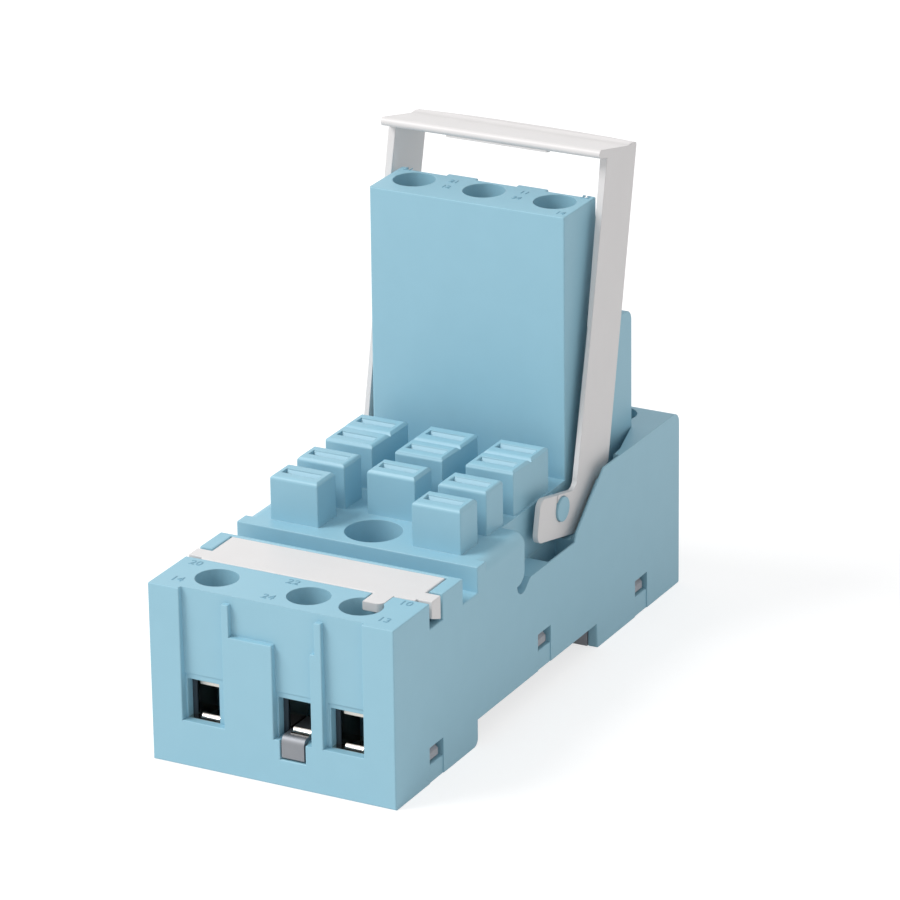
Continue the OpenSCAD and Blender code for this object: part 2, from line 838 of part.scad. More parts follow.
module base_cover() {
    color("#a9adb3")
        from_front() {
            difference() {
                union() {
                    difference() {
                        across(2 * cover_x)
                            cover_room(cover_gap);
                        across(body_w)
                            notch_profile();
                    }
                    block([-guide_x, rail_end, 0], [guide_x, body_l - side_t - cover_gap, guide_h]);
                }
                clip_guide_room();
                translate([0, coil_y, 0])
                    cylinder(r = panel_r + panel_gap, h = base_h);
            }
            block([-lip_w / 2, rail_y - foot_edge_r, 0], [lip_w / 2, rail_y + lip_l, lip_t]);
            both_sides()
                for (s = snaps)
                    snap_hook(s);
        }
}

module rail_clip() {
    nose_y = rail_end - nose_l;
    color("#8d9198")
        from_front()
            difference() {
                union() {
                    along(rail_end, body_l)
                        area([-clip_w / 2, clip_z], [clip_w / 2, clip_z + clip_t]);
                    across(clip_w - 2 * nose_step)
                        polygon([
                            [nose_y + nose_l / 2, nose_z], [body_l, nose_z], [body_l, clip_z + clip_t / 2],
                            [nose_y, clip_z + clip_t / 2], [nose_y, clip_z]]);
                }
                block([-pry_w / 2, body_l - pry_in - pry_l, -over],
                      [pry_w / 2, body_l - pry_in, clip_z + clip_t + over]);
            }
}

// Outline of one lever side, drawn as (forward to back, up) about the pivot.
// At rest it stays clear of the pocket's floor.
module lever_side() {
    bar_mid = lever_h - bar_h / 2;
    hole_r = pin_r + pin_gap;
    difference() {
        union() {
            polygon([
                [-foot_l, foot_r - foot_drop], [foot_r - foot_l, -foot_drop], [sole_l, -foot_drop],
                [heel_l, heel_h], [arm_back, bar_mid], [arm_front - arm_lean, bar_mid],
                [arm_front, foot_rise + arm_r], [arm_front, foot_rise],
                [foot_r - foot_l, foot_rise], [-foot_l, foot_rise - foot_r]]);
            for (z = [foot_r - foot_drop, foot_rise - foot_r])
                translate([foot_r - foot_l, z])
                    circle(r = foot_r);
            translate([arm_front, foot_rise])
                mirror([0, 1])
                    corner_cut(arm_r);
        }
        circle(r = hole_r);
        area([-hole_r, 0], [slit_w - hole_r, foot_rise + over]);
        rotate(rest_tilt)
            area([-deep, -deep], [deep, pocket_z + floor_gap - pin_z]);
    }
}

// One arm with its foot: its inner face leans in over the upper half
module lever_arm() {
    intersection() {
        translate([lever_x - (arm_t + arm_taper) / 2, 0, 0])
            across(arm_t + arm_taper)
                lever_side();
        along(-deep, deep)
            polygon([
                [arm_x, -deep], [half_w, -deep], [half_w, deep], [arm_x - arm_taper, deep],
                [arm_x - arm_taper, lever_h], [arm_x, lever_h / 2]]);
    }
}

// Crossbar's outline in the same plane: rounded front edge, low ridge along the rear edge
module crossbar_profile() {
    r = bar_h / 2;
    ridge_z = lever_h + ridge_h;
    area([bar_front + r, lever_h - bar_h], [arm_back, ridge_z - ridge_r]);
    area([bar_front + r, lever_h - bar_h], [arm_back - ridge_r, lever_h]);
    translate([bar_front + r, lever_h - r])
        circle(r = r);
    translate([arm_back - ridge_r, ridge_z - ridge_r])
        circle(r = ridge_r);
    polygon([
        [arm_back - ridge_l, lever_h - r], [arm_back - ridge_r, lever_h - r],
        [arm_back - ridge_r, ridge_z], [arm_back - ridge_l, lever_h]]);
}

// Crossbar between the arms' outer faces, its ridge crowned towards the middle
module crossbar() {
    crown_r = (lever_x * lever_x + ridge_fall * ridge_fall) / (2 * ridge_fall);
    intersection() {
        across(2 * lever_x)
            crossbar_profile();
        along(-deep, deep)
            translate([0, lever_h + ridge_h - crown_r])
                circle(r = crown_r, $fn = 720);
    }
}

module retaining_lever() {
    lip_u = bar_front + thumb_set;
    color("#e2e2e4")
        from_front()
            translate([0, pin_y, pin_z])
                rotate([-rest_tilt, 0, 0]) {
                    both_sides()
                        lever_arm();
                    crossbar();
                    translate([lip_shift, 0, 0])
                        across(lip_span)
                            area([lip_u, lever_h - bar_h - thumb_drop],
                                 [lip_u + thumb_l, lever_h - bar_h / 2]);
                }
}

module marker_plate() {
    tab_y = front_l + tab_set;
    tab_end = tab_y + tab_l;
    color("#e0e0e4")
        from_front() {
            block([-plate_w / 2, plate_y, plate_z], [plate_w / 2, plate_y + plate_l, base_h]);
            both_sides() {
                block([plate_w / 2 - eps, tab_y, plate_z], [half_w, tab_end, base_h]);
                translate([half_w - tab_t / 2, 0, 0])
                    across(tab_t)
                        polygon([
                            [tab_y, base_h - tab_h + tab_rise], [tab_end, base_h - tab_h],
                            [tab_end, base_h], [tab_y, base_h]]);
            }
            translate([tongue_x, front_l - tongue_l, plate_z])
                linear_extrude(height = plate_t)
                    difference() {
                        area([-tongue_w / 2, 0], [tongue_w / 2, tongue_l + 2 * fit_gap + eps]);
                        translate([tongue_w / 2, 0])
                            mirror([0, 1])
                                corner_cut(tongue_r);
                    }
        }
}

module link_strip() {
    run_z = window_z + seat_gap;
    top_z = run_z + link_t;
    color("#afb0bf")
        from_front()
            translate([middle_x, 0, 0])
                across(link_w) {
                    area([link_in + link_bend, run_z], [front_set + cage_l / 2 - cage_gap, top_z]);
                    area([link_in, top_z - link_leg], [link_in + link_t, top_z - link_bend]);
                    translate([link_in + link_bend, top_z - link_bend])
                        intersection() {
                            difference() {
                                circle(r = link_bend);
                                circle(r = link_bend - link_t);
                            }
                            area([-link_bend, 0], [0, link_bend]);
                        }
                }
}

// One leaf of a fork, from its foot up to the flared mouth; side is -1 or 1
module leaf(side) {
    foot = side * (fork_l - leaf_t) / 2;
    grip = side * (blade_gap + leaf_t) / 2;
    mouth = side * (fork_l - leaf_t - mouth_in) / 2;
    h = fork_top - fork_z;
    middle_line = [[foot, 0], [foot, knee_h], [grip, h - mouth_h], [mouth, h]];
    polygon(concat(
        [for (p = middle_line) p - [leaf_t / 2, 0]],
        [for (i = [3:-1:0]) middle_line[i] + [leaf_t / 2, 0]]));
}

// Side profile of a fork at the place y
module fork(y) {
    translate([y, fork_z]) {
        area([-fork_l / 2, 0], [fork_l / 2, strip_t]);
        leaf(-1);
        leaf(1);
    }
}

// Contact strip from the fork at y back along run_z, up a riser and into the cages of a rear row
module rear_strip(y, run_z, row) {
    riser_y = row[0] - cage_l / 2 - riser_gap;
    bar_top = bar_z + bar_t + row[1];
    across(strip_w) {
        fork(y);
        area([y - strip_t / 2, run_z], [y + strip_t / 2, fork_z + strip_t / 2]);
        area([y - strip_t / 2, run_z], [riser_y, run_z + strip_t]);
        area([riser_y - strip_t, run_z], [riser_y, bar_top]);
    }
    across(finger_w)
        area([riser_y - strip_t / 2, bar_top - bar_t], [row[0] + cage_l / 2, bar_top]);
}

// Contact strip from a coil fork forward to the front cage in the same column
module coil_strip() {
    across(strip_w) {
        fork(coil_y);
        area([coil_y - strip_t / 2, bar_z], [coil_y + strip_t / 2, fork_z + strip_t / 2]);
        area([bridge_y, bar_z], [coil_y + strip_t / 2, bar_z + bar_t]);
    }
    across(finger_w)
        area([front_set - cage_l / 2, bar_z], [bridge_y + over, bar_z + bar_t]);
}

module coil_strip_left() {
    color("#cfc9b8")
        from_front()
            translate([front_x[0], 0, 0])
                coil_strip();
}

// The right coil strip also serves the middle front terminal
module coil_strip_right() {
    color("#cfc9b8")
        from_front() {
            translate([front_x[2], 0, 0])
                coil_strip();
            block([middle_x - finger_w / 2, bridge_y, bar_z],
                  [front_x[2], bridge_y + bridge_l, bar_z + bar_t]);
            block([middle_x - finger_w / 2, front_set - cage_l / 2 + finger_in, bar_z],
                  [middle_x + finger_w / 2, bridge_y + over, bar_z + bar_t]);
        }
}

module common_strip(i) {
    color("#cfc9b8")
        from_front()
            translate([columns[i - 1], 0, 0])
                rear_strip(common_y, common_z, rear_row);
}

module make_strip(i) {
    color("#cfc9b8")
        from_front()
            translate([columns[i - 1], 0, 0])
                rear_strip(make_y, make_z, tier_row);
}

module break_strip(i) {
    color("#cfc9b8")
        from_front()
            translate([columns[i - 1], 0, 0])
                rear_strip(break_y, fork_z, tower_row);
}

module terminal_screw(i) {
    tip = bar_z + bar_t + seat_gap;
    head = seat_z + seat_gap;
    color("#d4d0c4")
        from_front()
            translate(terminals[i - 1])
                difference() {
                    union() {
                        translate([0, 0, tip])
                            cylinder(r = shank_r, h = head - tip + eps);
                        translate([0, 0, head])
                            cylinder(r = head_r, h = head_h);
                    }
                    block([-driver_w / 2, -deep, head + head_h - driver_d], [driver_w / 2, deep, deep]);
                    block([-cross_l / 2, -driver_w / 2, head + head_h - cross_d],
                          [cross_l / 2, driver_w / 2, deep]);
                }
}

module clamp_cage(i) {
    color("#c6c2b4")
        from_front()
            translate(terminals[i - 1] + [0, 0, cage_z])
                difference() {
                    block([-cage_w / 2, -cage_l / 2, 0], [cage_w / 2, cage_l / 2, cage_h]);
                    block([cage_t - cage_w / 2, -cage_l, cage_t],
                          [cage_w / 2 - cage_t, cage_l, cage_h - nut_t]);
                    cylinder(r = shank_r + thread_gap, h = deep);
                }
}

housing();
base_cover();
retaining_lever();
marker_plate();
rail_clip();
link_strip();
coil_strip_left();
coil_strip_right();
for (i = [1:3]) {
    common_strip(i);
    make_strip(i);
    break_strip(i);
}
for (i = [1:12]) {
    terminal_screw(i);
    clamp_cage(i);
}
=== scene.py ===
import math
import bmesh
import bpy
from mathutils import Matrix, Vector
from mathutils.bvhtree import BVHTree
from mathutils.geometry import intersect_point_line


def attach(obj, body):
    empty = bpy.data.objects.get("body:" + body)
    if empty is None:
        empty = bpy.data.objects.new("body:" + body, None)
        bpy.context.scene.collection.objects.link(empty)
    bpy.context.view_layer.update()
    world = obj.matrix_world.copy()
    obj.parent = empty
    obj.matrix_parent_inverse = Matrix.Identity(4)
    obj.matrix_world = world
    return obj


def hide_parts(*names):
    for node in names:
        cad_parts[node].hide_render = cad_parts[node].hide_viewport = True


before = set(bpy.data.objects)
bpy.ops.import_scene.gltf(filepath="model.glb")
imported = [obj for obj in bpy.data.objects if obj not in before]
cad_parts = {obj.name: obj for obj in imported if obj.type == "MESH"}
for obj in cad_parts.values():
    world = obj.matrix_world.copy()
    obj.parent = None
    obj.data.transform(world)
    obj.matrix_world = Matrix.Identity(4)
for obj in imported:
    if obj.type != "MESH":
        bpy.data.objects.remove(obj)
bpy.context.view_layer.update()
mm = 0.001
weld = 0.0005 * mm      # vertices nearer than this are merged
depthZero = 44          # mm from the socket's front face to the frame's origin
print("frame loaded")

# Camera, solved from the photograph's edges
cameraPlace = {
    "location": (336.94, -622.79, 314.11),   # mm
    "azimuth": 28.097,      # degrees
    "elevation": 21.634,
    "roll": -0.774,
    "lens": 216.72,         # mm
    "sensor": 36.0,
    "nearest": 0.01,        # m
    "farthest": 20,
}


def placeCamera():
    turn, rise = math.radians(cameraPlace["azimuth"]), math.radians(cameraPlace["elevation"])
    back = Vector((math.sin(turn) * math.cos(rise), -math.cos(turn) * math.cos(rise), math.sin(rise)))
    right = Vector((math.cos(turn), math.sin(turn), 0))
    up = back.cross(right)
    aim = Matrix((right, up, back)).transposed().to_4x4()
    data = bpy.data.cameras.new("camera")
    data.sensor_width = cameraPlace["sensor"]
    data.lens = cameraPlace["lens"]
    data.clip_start = cameraPlace["nearest"]
    data.clip_end = cameraPlace["farthest"]
    camera = bpy.data.objects.new("camera", data)
    roll = Matrix.Rotation(math.radians(cameraPlace["roll"]), 4, "Z")
    camera.matrix_world = Matrix.Translation(Vector(cameraPlace["location"]) * mm) @ aim @ roll
    bpy.context.scene.collection.objects.link(camera)
    bpy.context.scene.camera = camera


placeCamera()
print("camera placed")


# Shader helpers: one socket with arithmetic, and one material with a single way to add a node
class Wave:
    def __init__(self, sheet, socket):
        self.sheet = sheet
        self.socket = socket

    def maths(self, operation, first, second):
        return self.sheet.add("ShaderNodeMath", {"operation": operation}, {0: first, 1: second})

    def __add__(self, other):
        return self.maths("ADD", self, other)

    def __radd__(self, other):
        return self.maths("ADD", other, self)

    def __sub__(self, other):
        return self.maths("SUBTRACT", self, other)

    def __rsub__(self, other):
        return self.maths("SUBTRACT", other, self)

    def __mul__(self, other):
        return self.maths("MULTIPLY", self, other)

    def __rmul__(self, other):
        return self.maths("MULTIPLY", other, self)


class Sheet:
    def __init__(self, owner):
        self.owner = owner
        owner.use_nodes = True
        self.tree = owner.node_tree
        self.tree.nodes.clear()

    def add(self, kind, settings=None, inputs=None, output=0):
        node = self.tree.nodes.new(kind)
        for key, value in (settings or {}).items():
            setattr(node, key, value)
        for key, value in (inputs or {}).items():
            if isinstance(value, Wave):
                self.tree.links.new(value.socket, node.inputs[key])
            else:
                node.inputs[key].default_value = value
        return Wave(self, node.outputs[output]) if len(node.outputs) else None

    def noise(self, scale, detail, roughness):
        place = self.add("ShaderNodeTexCoord", output="Object")
        return self.add("ShaderNodeTexNoise", {}, {"Vector": place, "Scale": scale, "Detail": detail,
                                                   "Roughness": roughness}, "Fac")

    # A colour Mix node takes its colours in sockets 6 and 7 and gives one from socket 2
    def blend(self, factor, first, second):
        return self.add("ShaderNodeMix", {"data_type": "RGBA"}, {0: factor, 6: first, 7: second}, 2)

    def whiteRays(self):
        camera, glossy, through = [self.add("ShaderNodeLightPath", output="Is %s Ray" % kind)
                                   for kind in ("Camera", "Glossy", "Transmission")]
        return camera.maths("MAXIMUM", camera.maths("MAXIMUM", camera, glossy), through)

    def finish(self, shader, kind="Material"):
        self.add("ShaderNodeOutput" + kind, inputs={"Surface": shader})
        return self.owner


# An sRGB colour of 0 to 255, as the shaders take it
def linear(red, green, blue):
    steps = []
    for part in (red, green, blue):
        part = part / 255
        steps.append(part / 12.92 if part <= 0.04045 else ((part + 0.055) / 1.055) ** 2.4)
    return (*steps, 1.0)


def grey(value):
    return (value, value, value, 1)


plasticFinish = {
    "mottle": (260, 3.0, 0.5),      # cloudy colour of the moulding: scale per metre, detail, roughness
    "grain": (5200, 2.0, 0.6),      # fine spark-eroded grain
    "grainDepth": 0.012,            # mm
    "grainStrength": 0.6,
    "spread": 0.08,                 # how much the grain varies the roughness
    "edge": 0.15,                   # mm, softening of the edges that aren't rounded in the mesh
    "edgeSamples": 6,
    "ior": 1.5,
}
metalFinish = {
    "stain": (900, 4.0, 0.6),       # scale per metre, detail, roughness
    "scratch": (9000, 2.0, 0.5),
    "scratchDepth": 0.01,           # mm
    "scratchStrength": 0.4,
    "spread": 0.15,                 # how much the stain varies the roughness
}


def mouldedPlastic(name, light, dark, roughness):
    sheet = Sheet(bpy.data.materials.new(name))
    cloud = sheet.noise(*plasticFinish["mottle"])
    grain = sheet.noise(*plasticFinish["grain"])
    soft = sheet.add("ShaderNodeBevel", {"samples": plasticFinish["edgeSamples"]},
                     {"Radius": plasticFinish["edge"] * mm})
    bump = sheet.add("ShaderNodeBump", {}, {
        "Strength": plasticFinish["grainStrength"], "Distance": plasticFinish["grainDepth"] * mm,
        "Height": grain, "Normal": soft})
    shader = sheet.add("ShaderNodeBsdfPrincipled", {}, {
        "Base Color": sheet.blend(cloud, dark, light),
        "Roughness": roughness + (grain - 0.5) * plasticFinish["spread"],
        "Normal": bump, "IOR": plasticFinish["ior"]})
    return sheet.finish(shader)


def platedMetal(name, light, dark, roughness):
    sheet = Sheet(bpy.data.materials.new(name))
    stain = sheet.noise(*metalFinish["stain"])
    scratch = sheet.noise(*metalFinish["scratch"])
    bump = sheet.add("ShaderNodeBump", {}, {
        "Strength": metalFinish["scratchStrength"], "Distance": metalFinish["scratchDepth"] * mm,
        "Height": scratch})
    shader = sheet.add("ShaderNodeBsdfPrincipled", {}, {
        "Base Color": sheet.blend(stain, dark, light), "Metallic": 1.0,
        "Roughness": roughness + (stain - 0.5) * metalFinish["spread"], "Normal": bump})
    return sheet.finish(shader)


bluePlastic = mouldedPlastic("bluePlastic", linear(151, 196, 213), linear(147, 192, 209), 0.45)
# The housing's blue made darker: painted shade on the raised digits, standing in for the shadows of
# their strokes
digitPaintedShade = mouldedPlastic("digitPaintedShade", linear(124, 172, 193), linear(118, 166, 187), 0.5)
whitePlastic = mouldedPlastic("whitePlastic", linear(227, 224, 223), linear(222, 219, 218), 0.42)
# Uniform dark plastic that is painted shade: it stands for the unlit gap at the back of the windows
paintedShadeFill = mouldedPlastic("paintedShadeFill", linear(44, 58, 68), linear(38, 52, 62), 0.6)
greyPlastic = mouldedPlastic("greyPlastic", linear(170, 171, 176), linear(160, 161, 167), 0.5)
clipPlastic = mouldedPlastic("clipPlastic", linear(130, 134, 140), linear(122, 126, 132), 0.5)
linkMetal = platedMetal("linkMetal", linear(154, 156, 160), linear(140, 142, 147), 0.6)
nickel = platedMetal("nickel", linear(212, 208, 202), linear(184, 179, 171), 0.22)
tinnedBrass = platedMetal("tinnedBrass", linear(218, 216, 210), linear(198, 195, 187), 0.28)
print("materials made")

# The CAD nodes that are seen as they are, by the start of their names
nodeFinishes = {
    "base_cover": greyPlastic,
    "rail_clip": clipPlastic,
    "coil_strip": tinnedBrass,
    "common_strip": tinnedBrass,
    "make_strip": tinnedBrass,
    "break_strip": tinnedBrass,
    "terminal_screw": nickel,
    "clamp_cage": nickel,
}
for start, material in nodeFinishes.items():
    for name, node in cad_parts.items():
        if name.startswith(start):
            node.data.materials.clear()
            node.data.materials.append(material)


edgeSoftening = {
    "shortest": 0.7,    # mm, edges below this stay sharp
    "room": 2.5,        # widths that the nearest other edge of the same face stays away
    "corner": 25,       # degrees, sharper corners stay sharp
    "turn": 40,         # degrees, the least turn of an edge that is rounded
    "flat": 0.6,        # degrees, faces that turn less become one
    "level": 0.5,       # degrees, faces that turn less share one level normal
    "smooth": 38,       # degrees, faces that turn less are shaded as one surface
    "start": 0.02,      # mm off the edge, where its view outwards starts
    "lean": 0.2,        # how far the views along the faces lean away from them
    "reach": 0.3,       # m
}


# An edge that nothing covers, as seen from straight ahead or along either of its faces
def seesOutside(tree, edge):
    middle = (edge.verts[0].co + edge.verts[1].co) / 2
    first, second = [face.normal for face in edge.link_faces]
    outward = (first + second).normalized()
    start = middle + outward * edgeSoftening["start"] * mm
    lean = outward * edgeSoftening["lean"]
    return any(tree.ray_cast(start, direction.normalized(), edgeSoftening["reach"])[0] is None
               for direction in (outward, first + lean, second + lean))


def gapBetween(edge, other, samples=8):
    start, end = [vert.co for vert in other.verts]
    gaps = []
    for step in range(samples + 1):
        point = edge.verts[0].co.lerp(edge.verts[1].co, step / samples)
        share = intersect_point_line(point, start, end)[1]
        gaps.append((point - start.lerp(end, min(max(share, 0), 1))).length)
    return min(gaps)


# Narrow rebates along the inner side of the skirts, with a deeper floor under the lever's feet
skirtRebate = {
    "floorX": (15.5, 18.75),    # mm across, from the core to the skirt's thin rim
    "floorY": (46.0, 54.6),     # mm from the front face
    "floorZ": (14.5, 19.6),
    "rimX": (17.7, 18.75),
    "rim": ((53.6, 20.2), (62.3, 27.2), (68.6, 27.2), (68.6, 25.1), (63.0, 25.1), (55.2, 18.6)),
}


# A place in mm, with y measured from the front face
def at(x, y, z):
    return Vector((x, y - depthZero, z)) * mm


def addObject(name, data):
    made = bpy.data.objects.new(name, data)
    bpy.context.scene.collection.objects.link(made)
    return made


# A mesh of the finished bmesh, which is freed
def meshOf(shape, name):
    data = bpy.data.meshes.new(name)
    shape.to_mesh(data)
    shape.free()
    return data


def evaluatedMesh(source):
    return bpy.data.meshes.new_from_object(
        source.evaluated_get(bpy.context.evaluated_depsgraph_get()))


def rebateCutters():
    (front, back), (low, high) = skirtRebate["floorY"], skirtRebate["floorZ"]
    floor = ((front, low), (back, low), (back, high), (front, high))
    cutters = []
    for side in (-1, 1):
        for name, xs, outline in (("floorCutter", skirtRebate["floorX"], floor),
                                  ("rimCutter", skirtRebate["rimX"], skirtRebate["rim"])):
            shape = bmesh.new()
            face = shape.faces.new([shape.verts.new(at(side * xs[0], y, z)) for y, z in outline])
            grown = bmesh.ops.extrude_face_region(shape, geom=[face])["geom"]
            bmesh.ops.translate(shape, vec=Vector((side * (xs[1] - xs[0]) * mm, 0, 0)),
                                verts=[part for part in grown if isinstance(part, bmesh.types.BMVert)])
            bmesh.ops.recalc_face_normals(shape, faces=shape.faces)
            cutters.append(addObject(name, meshOf(shape, name)))
    return cutters


def cutCopy(source, cutters):
    shape = bmesh.new()
    shape.from_mesh(source)
    bmesh.ops.remove_doubles(shape, verts=shape.verts, dist=weld)
    piece = addObject("cutCopy", meshOf(shape, "cutCopy"))
    for cutter in cutters:
        cut = piece.modifiers.new("cut", "BOOLEAN")
        cut.object = cutter
        cut.operation = "DIFFERENCE"
        cut.solver = "EXACT"
    result = evaluatedMesh(piece)
    for used in (piece, *cutters):
        bpy.data.objects.remove(used)
    return result


# An edge is rounded only where its faces are wide enough for it and meet it squarely at both ends
def hasRoom(edge, width):
    for face in edge.link_faces:
        for other in face.edges:
            if other == edge:
                continue
            shared = [vert for vert in edge.verts if vert in other.verts]
            if shared:
                along = edge.other_vert(shared[0]).co - shared[0].co
                away = other.other_vert(shared[0]).co - shared[0].co
                if along.angle(away, 0) < math.radians(edgeSoftening["corner"]):
                    return False
            elif gapBetween(edge, other) < width * edgeSoftening["room"]:
                return False
    return True


# Normals that lie flat on the wide faces and turn only over the rounded edges
def levelNormals(shape):
    shape.faces.ensure_lookup_table()
    region = {}
    for face in shape.faces:
        if face in region:
            continue
        group, queue = [face], [face]
        region[face] = group
        while queue:
            for edge in queue.pop().edges:
                for other in edge.link_faces:
                    turn = other.normal.angle(face.normal, math.pi)
                    if other not in region and turn < math.radians(edgeSoftening["level"]):
                        region[other] = group
                        group.append(other)
                        queue.append(other)
    weight = {}
    for group in region.values():
        if id(group) not in weight:
            weight[id(group)] = sum(part.calc_area() for part in group) ** 2
    normals = []
    for face in shape.faces:
        for corner in face.loops:
            total = Vector()
            for other in corner.vert.link_faces:
                turn = other.normal.angle(face.normal, math.pi)
                if turn < math.radians(edgeSoftening["smooth"]):
                    total += other.normal * weight[id(region[other])]
            normals.append(total.normalized() if total.length else face.normal.copy())
    return normals


# A copy of a CAD node that stands in for it, with its outer edges rounded; the width is in mm
def softenedCopy(nodeName, name, body, material, width, segments, cutters):
    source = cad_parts[nodeName].data
    shape = bmesh.new()
    shape.from_mesh(cutCopy(source, cutters) if cutters else source)
    bmesh.ops.remove_doubles(shape, verts=shape.verts, dist=weld)
    bmesh.ops.dissolve_limit(shape, angle_limit=math.radians(edgeSoftening["flat"]),
                             verts=shape.verts, edges=shape.edges)
    tree = BVHTree.FromBMesh(shape)
    chosen = []
    for edge in shape.edges:
        if len(edge.link_faces) != 2 or edge.calc_length() < edgeSoftening["shortest"] * mm:
            continue
        if edge.calc_face_angle() < math.radians(edgeSoftening["turn"]) or not edge.is_convex:
            continue
        if seesOutside(tree, edge) and hasRoom(edge, width * mm):
            chosen.append(edge)
    bmesh.ops.bevel(shape, geom=chosen, offset=width * mm, offset_type="OFFSET", segments=segments,
                    profile=0.5, affect="EDGES", clamp_overlap=False, material=-1)
    normals = levelNormals(shape)
    data = meshOf(shape, name)
    for face in data.polygons:
        face.use_smooth = True
    data.normals_split_custom_set(normals)
    data.materials.append(material)
    piece = addObject(name, data)
    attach(piece, body)
    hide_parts(nodeName)
    print(name, len(chosen), "edges softened,", len(data.polygons), "faces")


# The rounded pieces by CAD node: name, body, material, width of the rounding in mm and its segments
roundedPieces = {
    "housing": ("housingShell", "socket", bluePlastic, 0.22, 2),
    "retaining_lever": ("leverBail", "lever", whitePlastic, 0.2, 2),
    "marker_plate": ("markerStrip", "socket", whitePlastic, 0.2, 2),
    "link_strip": ("linkTongue", "socket", linkMetal, 0.25, 3),
}
for nodeName, choices in roundedPieces.items():
    softenedCopy(nodeName, *choices, cutters=rebateCutters() if nodeName == "housing" else [])
print("outer edges rounded")


# Small details: the flared blade slots, the windows' jambs with sheets of painted shade behind them,
# and their wire guides, all in mm
columns = (-11.2, 0, 11.2)      # x of the posts and of the rear terminals
# Terminals as (x, y, rise, direction that the window faces, y of that face)
terminalPlaces = [(x, 5.5, 0, -1, 0) for x in (-11.2, 3.1, 11.2)]
terminalPlaces += [(x, y, rise, 1, face)
                   for y, rise, face in ((83.0, 0.7, 88.0), (73.6, 21.1, 79.4), (63.6, 39.4, 68.1))
                   for x in columns]
linkTerminal = 1                # the terminal with the link strip in its window

slotThroat = {
    "width": 5.7, "length": 1.6,    # of the slot that it narrows
    "reach": 0.5,                   # from the slot's wall inwards
    "fall": 0.65,                   # of its sloped top
    "depth": 1.3,
    "sunk": 0.06,                   # below the post's top
    "top": 33.03,
    "rows": {29.5: (-11.2, 11.2), 37.2: columns, 45.4: columns, 51.1: columns},
    "match": 0.01,                  # within which a vertex lies on an edge
}
windowTrim = {
    "bottom": 6.8, "top": 13.4,
    "outer": 2.95, "inner": 2.65,   # the jamb's sides, from the window's middle
    "narrow": {0: 0.6},             # width of the other side's jamb, by terminal
    "lintel": 12.7,                 # underside of the bar across the window's top
    "lap": 0.3, "proud": 0.02,      # over the window's rounded edges
    "recess": 1.22,                 # depth of the band in front of the window
    "chamber": 2.7,                 # from the screw's axis to the clamp's chamber
    # Side and depth of the dark sheet of painted shade at the back of each window's passage
    "paintedShadeSide": 1.95, "paintedShadeDepth": 0.3,
}
wireGuide = {
    "side": (-0.95, 1.85),          # from the window's middle
    "radius": 1.0,
    "turn": 66,                     # degrees
    "steps": 8,
    "sheet": 0.2,
    "setBack": 0.06,                # behind the face of the band
    "lift": 0.04, "linkLift": 0.85,     # above the window's bottom
    "floor": 0.1,                   # sheet below the lift
    "smooth": 40,                   # degrees, edges that turn more are drawn sharp
}


def addBlock(shape, first, second):
    low, high = [Vector([pick(pair) for pair in zip(first, second)]) for pick in (min, max)]
    middle = (low + high) / 2 - Vector((0, depthZero, 0))
    size = high - low
    place = Matrix.Translation(middle * mm) @ Matrix.Diagonal((*(size * mm), 1))
    return bmesh.ops.create_cube(shape, size=1, matrix=place)["verts"]


def finishPiece(shape, name, material):
    bmesh.ops.recalc_face_normals(shape, faces=shape.faces)
    data = meshOf(shape, name)
    data.materials.append(material)
    piece = addObject(name, data)
    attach(piece, "socket")
    return piece


def makeThroats():
    shape = bmesh.new()
    half, halfWidth = slotThroat["length"] / 2, slotThroat["width"] / 2
    top = slotThroat["top"] - slotThroat["sunk"]
    for y, places in slotThroat["rows"].items():
        for x in places:
            for side in (-1, 1):
                wall, edge = y + side * half, y + side * (half - slotThroat["reach"])
                verts = addBlock(shape, (x - halfWidth, wall, top - slotThroat["depth"]),
                                 (x + halfWidth, edge, top))
                for vert in verts:
                    atEdge = abs(vert.co.y / mm + depthZero - edge) < slotThroat["match"]
                    if atEdge and vert.co.z / mm > top - slotThroat["match"]:
                        vert.co.z -= slotThroat["fall"] * mm
    finishPiece(shape, "slotThroats", bluePlastic)


# The x of a window's clear sides, first the one with the wider jamb
def clearSides(number, x, facing):
    narrow = windowTrim["narrow"].get(number, 0)
    return x + facing * windowTrim["inner"], x - facing * (windowTrim["outer"] - narrow)


def makeJambs():
    jambs, paintedShadeSheets = bmesh.new(), bmesh.new()
    lapped = windowTrim["outer"] + windowTrim["lap"]
    for number, (x, y, rise, facing, face) in enumerate(terminalPlaces):
        front = face - facing * (windowTrim["recess"] - windowTrim["proud"])
        back = y + facing * windowTrim["chamber"]
        bottom, lintel, top = [windowTrim[part] + rise for part in ("bottom", "lintel", "top")]
        near, far = clearSides(number, x, facing)
        nearOuter, farOuter = x + facing * lapped, x - facing * lapped
        blocks = [(nearOuter, near, bottom)]
        if number in windowTrim["narrow"]:
            blocks += [(near, far, lintel), (far, farOuter, bottom)]
        else:
            blocks += [(near, farOuter, lintel)]
        for first, second, foot in blocks:
            addBlock(jambs, (first, front, foot), (second, back, top + windowTrim["lap"]))
        # A dark sheet at the back of each window's passage: painted shade where the gap beside the
        # clamp lies in shadow
        addBlock(paintedShadeSheets, (near, back + facing * windowTrim["paintedShadeDepth"], bottom),
                 (x + facing * windowTrim["paintedShadeSide"], back, top))
    finishPiece(jambs, "windowJambs", bluePlastic)
    finishPiece(paintedShadeSheets, "windowPaintedShade", paintedShadeFill)


